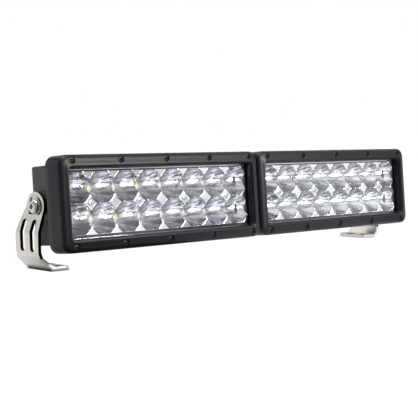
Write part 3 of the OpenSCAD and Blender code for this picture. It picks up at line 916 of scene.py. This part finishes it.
def slot_ring(y, z0, z1, width, x):
    """Slot outline in Y and Z at one x."""
    r = width/2
    top = [(x, y + dy, z1 - r + dz) for dy, dz in half_circle(r, 0)]
    low = [(x, y + dy, z0 + r + dz) for dy, dz in half_circle(r, 180)]
    return top + low


def arc_slot_ring(cx, cy, swing, half_angle, width, z):
    """Outline of a slot that swings about (cx, cy)."""
    r = width/2
    outline = []
    for a in range(-half_angle, half_angle + 1, 2):
        b = math.radians(90 - a)
        outline.append((cx + (swing + r)*math.cos(b), cy + (swing + r)*math.sin(b), z))
    back = [math.radians(90 - a) for a in range(half_angle, -half_angle - 1, -2)]
    for end, turned_by, inner in ((half_angle, 0, []), (-half_angle, 180, back)):
        b = math.radians(90 - end)
        ex, ey = cx + swing*math.cos(b), cy + swing*math.sin(b)
        ring = [math.radians(90 - end + turned_by - k*15) for k in range(1, 12)]
        outline += [(cx + (swing - r)*math.cos(q), cy + (swing - r)*math.sin(q), z) for q in inner]
        outline += [(ex + r*math.cos(q), ey + r*math.sin(q), z) for q in ring]
    return outline


FOOT_HOLE = (234, -8.5)
FOOT_HOLE_D = 6.6
FOOT_DEPTHS = (-70, -50)
ARC_SWING = 17
SLOT_W = 7.5
SLOT_MIDDLES = (-4.2, 11.8)
BOLT_HOLE_R = 4.06
DISH = ((9.6, 252.2), (10.6, 252.9), (11.6, 255))


def bracket_cutters():
    parts = [stack([slot_ring(y, -43, -12, SLOT_W, x) for x in (240, 275)]) for y in SLOT_MIDDLES]
    parts.append(stack([ring_round(BOLT_HOLE_R, x, "x") for x in (240, 262)]))
    parts.append(stack([ring_round(r, x, "x", n=64) for r, x in DISH]))
    round_hole = ring_round(FOOT_HOLE_D/2, 0)
    parts.append(stack([[(FOOT_HOLE[0] + x, FOOT_HOLE[1] + y, z) for x, _, y in round_hole]
                        for z in FOOT_DEPTHS]))
    parts.append(stack([arc_slot_ring(*FOOT_HOLE, ARC_SWING, 10, FOOT_HOLE_D, z) for z in FOOT_DEPTHS]))
    return [to_object("cutter", *part) for part in parts]


def mark_painted_edge_shade(obj):
    """Faces that the cutting tool made, which get painted shade and dark reflection: they look across the
    strip, line the foot's holes, or look up from the round head.
    """
    mark = obj.data.attributes.new("sheared", "FLOAT", "FACE")
    top = AXIS.z + 0.006
    for face in obj.data.polygons:
        across = abs(face.normal.y) > 0.3 and face.center.z > 0.012
        head = face.center.z > top and abs(face.normal.x) < 0.5
        hole = face.center.z < 0.0032 and 0.12 < face.normal.xy.length and abs(face.normal.z) < 0.2
        rim = abs(face.center.x) < 0.2275 or abs(face.center.y - 0.0107) > 0.0195
        mark.data[face.index].value = 1.0 if across or head or (hole and not rim) else 0.0


def bracket(side):
    obj = bracket_sheet(side)
    tidy(obj, 1e-4)
    cut(obj, *bracket_cutters())
    obj.data.transform(on_bracket(side))
    tidy(obj)
    soften(obj, 0.35, 2, 40)
    # painted shade and dark reflection: marks the cut edges and foot hole walls that are drawn near black
    mark_painted_edge_shade(obj)
    shade(obj, 40)
    declare(obj, BRUSHED, "brackets", "brushed_stainless", f"{side}_bracket")


for side in SIDES:
    bracket(side)

# %% [markdown]
# ## Tilt bolts, washers and spacers
# These are turned parts, so each one is a list of radii and places along the bolt, which the ring helper
# spins into a solid. The bolt's dome is an arc and its hexagon socket uses six-sided rings.


# %% Turned parts on the tilt axis
def turned(name, profile, side):
    rings = [ring_round(r, x, "x", n=48) for x, r in profile]
    obj = to_object(name, *stack(rings, closed=True), on_axis(side))
    shade(obj, 35)
    return obj


def washer_profile(x0, x1, r_in, r_out, edge=0.25):
    return [(x0, r_in), (x0, r_out - edge), (x0 + edge, r_out), (x1 - edge, r_out), (x1, r_out - edge),
            (x1, r_in)]


SEAT_X = 253.7
DOME_H = 4.4
DOME_R = 7
DOME_FLAT_R = 3.9
HEX_R = 2.7


def tilt_bolt(side):
    rings = [ring_round(0.4, SEAT_X + 1.7, "x"), ring_round(HEX_R, SEAT_X + 1.8, "x", corners=6),
             ring_round(HEX_R, SEAT_X + DOME_H - 0.15, "x", corners=6),
             ring_round(3.0, SEAT_X + DOME_H, "x", corners=6),
             ring_round(DOME_FLAT_R, SEAT_X + DOME_H, "x")]
    for a in range(75, -1, -15):
        b = math.radians(a)
        rings.append(ring_round(DOME_FLAT_R + (DOME_R - DOME_FLAT_R)*math.cos(b),
                                SEAT_X + 0.9 + (DOME_H - 0.9)*math.sin(b), "x"))
    rings += [ring_round(DOME_R, SEAT_X + 0.25, "x"), ring_round(DOME_R - 0.25, SEAT_X, "x"),
              ring_round(4, SEAT_X, "x"), ring_round(4, 222, "x"), ring_round(3.4, 221, "x")]
    obj = to_object(f"{side}_button_bolt", *stack(rings), on_axis(side))
    shade(obj, 35)
    declare(obj, POLISHED, "light_head", "stainless", f"{side}_pivot_bolt")


def tilt_hardware(side):
    outer = turned(f"{side}_outer_washer", washer_profile(252.5, 253.7, 4.05, 8.2), side)
    declare(outer, POLISHED, "light_head", "stainless", f"{side}_bolt_washer")
    spring = turned(f"{side}_spring_washer", washer_profile(241.0, 243.1, 4.05, 7.2, 0.4), side)
    declare(spring, ZINC, "light_head", "stainless", f"{side}_lock_washer")
    grooved = [(243.2, 4.05), (243.2, 7.6), (243.6, 8), (245.2, 8), (245.5, 7.2), (246.1, 7.2), (246.4, 8),
               (249.2, 8), (249.6, 7.6), (249.6, 4.05)]
    spacer = turned(f"{side}_spacer", grooved, side)
    declare(spacer, POLISHED, "light_head", "stainless", f"{side}_pivot_spacer")


for side in SIDES:
    tilt_bolt(side)
    tilt_hardware(side)

# %% [markdown]
# ## Castings and plates taken from the CAD
# The housings, the joiner plate and the gland already have the right shape in the frame, but their edges
# are knife sharp, and real castings catch light on small rounded edges. Their meshes are copied, the
# loose triangles merged back to clean faces, and a bevel softens every sharp edge. The CAD node itself is
# never touched.


# %% Copy a node and soften its edges
def softened(name, node, width):
    source = frame["nodes"][node]
    obj = linked_object(name, source.data.copy())
    obj.data.transform(source.matrix_world)
    bm = bmesh.new()
    bm.from_mesh(obj.data)
    bmesh.ops.remove_doubles(bm, verts=bm.verts, dist=0.005*MM)
    bmesh.ops.dissolve_limit(bm, angle_limit=math.radians(0.5), verts=bm.verts, edges=bm.edges)
    bm.to_mesh(obj.data)
    bm.free()
    for edge_set in ("sharp_edge", "sharp_face"):
        if edge_set in obj.data.attributes:
            obj.data.attributes.remove(obj.data.attributes[edge_set])
    soften(obj, width)
    shade(obj, 40)
    return obj


SOFT_COPIES = {
    "left_housing": ("left_finned_housing", CAST_COAT, "black_casting", 0.7),
    "right_housing": ("right_finned_housing", CAST_COAT, "black_casting", 0.7),
    "joiner_plate": ("rear_joiner_plate", POWDER_COAT, "black_coat", 0.5),
    "joiner_bolts": ("rear_joiner_bolts", ZINC, "zinc_steel", 0.15),
    "joint_seal": ("centre_seal", BLACK_RUBBER, "black_rubber", 0.2),
    "gland_body": ("cable_gland_body", BLACK_NYLON, "black_nylon", 0.3),
    "gland_seal": ("cable_gland_seal", BLACK_RUBBER, "black_rubber", 0.2),
    "breather_vent": ("vent_plug", BLACK_NYLON, "black_nylon", 0.3),
}
for node, (name, material, slot_name, width) in SOFT_COPIES.items():
    declare(softened(name, node, width), material, "light_head", slot_name, node)

# %% [markdown]
# ## Gland nut
# The dome nut of a cable gland has grip ribs all round. A turned body gives the dome; the ribs are one
# small bar instanced round a circle by a second Geometry Nodes tree with the count and the radius as
# inputs.


# %% Ribs round a circle
def circle_tree(name):
    tree, sockets, start = new_tree(name, {"Count": "Int", "Radius": "Float", "Rib Width": "Float",
                                           "Rib Length": "Float", "Finish": "Material"})
    circle = tree.nodes.new("GeometryNodeMeshCircle")
    rib = tree.nodes.new("GeometryNodeMeshCylinder")
    rib.inputs["Vertices"].default_value = 10
    for label, socket in (("Count", circle.inputs["Vertices"]), ("Radius", circle.inputs["Radius"]),
                          ("Rib Width", rib.inputs["Radius"]), ("Rib Length", rib.inputs["Depth"])):
        tree.links.new(start.outputs[label], socket)
    copies_out(tree, start, circle.outputs["Mesh"], rib.outputs["Mesh"])
    return tree, sockets


def gland_nut():
    front, back = 76.1, 84.0
    port = Matrix.Translation((-78, 0, 0))
    profile = [(front, 6.1), (front, 9.3), (front + 4.6, 9.3), (front + 5.4, 8.9), (back - 1.4, 7.9),
               (back - 0.4, 7.0), (back, 6.2), (back - 0.6, 6.05)]
    body = to_object("gland_dome_nut", *stack([ring_round(r, y) for y, r in profile], closed=True),
                     lamp("left") @ port)
    tree, sockets = circle_tree("ribs_round_a_circle")
    ribs = from_tree("gland_nut_ribs", tree, sockets, {"Count": 18, "Radius": 9.2, "Rib Width": 0.75,
                                                       "Rib Length": 4.4, "Finish": BLACK_NYLON})
    upright = Matrix.Rotation(math.pi/2, 4, "X")
    ribs.data.transform(lamp("left") @ port @ Matrix.Translation((0, front + 2.3, 0)) @ upright)
    tidy(ribs)
    for obj in (body, ribs):
        shade(obj, 40)
        declare(obj, BLACK_NYLON, "light_head", "black_nylon", "gland_nut")


gland_nut()

# %% [markdown]
# ## Pieces inside
# The boards, the pads and the plates are hidden behind the mirrors, but a viewer may take the bar apart.
# Their CAD shapes are right, so they stay and only get their finishes.

# %% Finishes of the hidden pieces
BOARD_GREEN = grained("green_solder_mask", (0.02, 0.11, 0.045), rough=(0.3, 0.4), grain=1200,
                      depth=0.01, coat=0.3)
PAD_GREY = grained("thermal_silicone", (0.28, 0.31, 0.38), rough=(0.6, 0.75), grain=900, depth=0.02)
MILLED = grained("milled_aluminium", (0.62, 0.63, 0.65), rough=(0.28, 0.42), grain=1400, depth=0.006,
                 metallic=1, stretch=(0.05, 1, 1))
PART_BLACK = grained("component_cases", (0.04, 0.04, 0.045), rough=(0.35, 0.5), grain=1500, depth=0.008)
INNER = {"led_board": WHITE_MASK, "board_screws": ZINC, "thermal_pad": PAD_GREY, "mount_plate": MILLED,
         "plate_screws": ZINC, "driver_board": BOARD_GREEN, "driver_parts": PART_BLACK}
hidden = {f"{side}_{part}": finish for side in SIDES for part, finish in INNER.items()}
hidden["link_cable"] = BLACK_RUBBER
for node, finish in hidden.items():
    mesh = frame["nodes"][node].data
    mesh.materials.clear()
    mesh.materials.append(finish)
print("hidden pieces with a finish:", len(hidden))

# %% [markdown]
# ## Floor, light and camera
# A pale floor and soft light show black coating and mirrors best: the mirrors need something bright and
# something dark to reflect. So the room and the floor have two faces. Straight to the camera both are
# plain white, except for a painted contact shadow on the floor round the brackets' feet; in reflections
# both are cloudy, with bright and dark patches, and the floor is dimmer in front of the bar than behind
# it. A Light Path node tells the two kinds of ray apart, on the stage only.
# Two soft lamps light the front and the top. The camera stands to the left of the bar, a little above
# its middle, and looks slightly down.

# %% Stage
FLOOR_HALF = 6
FLOOR_Z = -0.0002
corners = [(FLOOR_HALF*x, FLOOR_HALF*y, FLOOR_Z) for x, y in ((-1, -1), (1, -1), (1, 1), (-1, 1))]
floor = to_object("floor", corners, [(0, 1, 2, 3)])


def pale_floor():
    """White card to the camera, with a painted contact shadow under the feet; to the mirrors a patchy card,
    dim in front of the bar, bright behind.
    """
    mat = grained("pale_floor", (0.04, 0.04, 0.039), drift=0.01, rough=(0.7, 0.8), cloud=3, grain=200,
                  depth=0.01, specular=0)
    tree = mat.node_tree
    shader = tree.nodes["Principled BSDF"]
    shader.inputs["Emission Color"].default_value = (1, 0.995, 0.985, 1)
    place = tree.nodes.new("ShaderNodeTexCoord")
    split = tree.nodes.new("ShaderNodeSeparateXYZ")
    tree.links.new(place.outputs["Object"], split.inputs["Vector"])
    side = map_range(tree, split.outputs["X"], (-0.3, 0.4), (0.55, 1.4))
    behind = map_range(tree, split.outputs["Y"], (-0.05, 0.05))
    patches = map_range(tree, noise(tree, place.outputs["Object"], 6), (0.44, 0.56), (0.03, 1))
    dim = tree.nodes.new("ShaderNodeMix")
    dim.inputs["B"].default_value = 0.95
    tree.links.new(behind, dim.inputs["Factor"])
    tree.links.new(math_node(tree, "MULTIPLY", side, patches), dim.inputs["A"])
    path = tree.nodes.new("ShaderNodeLightPath")
    glow = math_node(tree, "MAXIMUM", path.outputs["Is Camera Ray"], dim.outputs["Result"])
    # painted contact shadow: ambient occlusion darkens the floor's glow close to the brackets' feet
    painted_contact_shadow = tree.nodes.new("ShaderNodeAmbientOcclusion")
    painted_contact_shadow.inputs["Distance"].default_value = 0.003
    deepen = math_node(tree, "POWER", painted_contact_shadow.outputs["AO"], 2)
    tree.links.new(math_node(tree, "MULTIPLY", glow, deepen), shader.inputs["Emission Strength"])
    return mat


floor.data.materials.append(pale_floor())


HORIZON_LIGHT = 0.55
CEILING_LIGHT = 0.9


def surroundings():
    """Cloudy room, brighter overhead, and plain white where the camera looks past the bar."""
    world = bpy.data.worlds.new("studio")
    bpy.context.scene.world = world
    world.use_nodes = True
    tree = world.node_tree
    tree.nodes.clear()
    where = tree.nodes.new("ShaderNodeTexCoord")
    split = tree.nodes.new("ShaderNodeSeparateXYZ")
    tree.links.new(where.outputs["Generated"], split.inputs["Vector"])
    height = map_range(tree, split.outputs["Z"], (0.12, 0.45), (HORIZON_LIGHT, CEILING_LIGHT), "SMOOTHSTEP")
    flatten = tree.nodes.new("ShaderNodeMapping")
    flatten.inputs["Scale"].default_value = (1, 1, 2)
    tree.links.new(where.outputs["Generated"], flatten.inputs["Vector"])
    layers = noise(tree, flatten.outputs["Vector"], 3, 3)
    studio = math_node(tree, "MULTIPLY", height, map_range(tree, layers, (0.46, 0.56), (0.02, 2)))
    path = tree.nodes.new("ShaderNodeLightPath")
    seen = math_node(tree, "MAXIMUM", path.outputs["Is Camera Ray"], studio)
    back = tree.nodes.new("ShaderNodeBackground")
    out = tree.nodes.new("ShaderNodeOutputWorld")
    back.inputs["Color"].default_value = (1, 1, 1, 1)
    tree.links.new(seen, back.inputs["Strength"])
    tree.links.new(back.outputs["Background"], out.inputs["Surface"])


def softbox(name, at, aim, size, power):
    """Area lamp at a place, turned to a point."""
    data = bpy.data.lights.new(name, "AREA")
    data.shape = "RECTANGLE"
    data.size, data.size_y = size
    data.energy = power
    obj = bpy.data.objects.new(name, data)
    obj.location = at
    obj.rotation_euler = (Vector(aim) - Vector(at)).to_track_quat("-Z", "Y").to_euler()
    bpy.context.scene.collection.objects.link(obj)


surroundings()
softbox("front_softbox", (0.58, -1.32, 0.58), (-0.1, 0, 0.06), (0.62, 0.35), 19)
softbox("ceiling_softbox", (-0.2, -0.4, 1.9), (0, 0, 0), (0.9, 0.35), 22)
print("lights:", len(bpy.data.lights))

# %% Camera
SENSOR_WIDTH = 36
FOCAL_LENGTH = 94.4
LOOK_DOWN = 4.03
TURN = -43.81
camera = bpy.data.objects.new("camera", bpy.data.cameras.new("camera"))
camera.location = (-0.8539, -0.8563, 0.1318)
camera.rotation_euler = (math.radians(90 - LOOK_DOWN), 0, math.radians(TURN))
camera.data.sensor_width = SENSOR_WIDTH
camera.data.lens = FOCAL_LENGTH
bpy.context.scene.collection.objects.link(camera)
bpy.context.scene.camera = camera
bpy.context.scene.view_settings.view_transform = "Standard"
print("lens", FOCAL_LENGTH, "mm on a sensor", SENSOR_WIDTH, "mm wide")
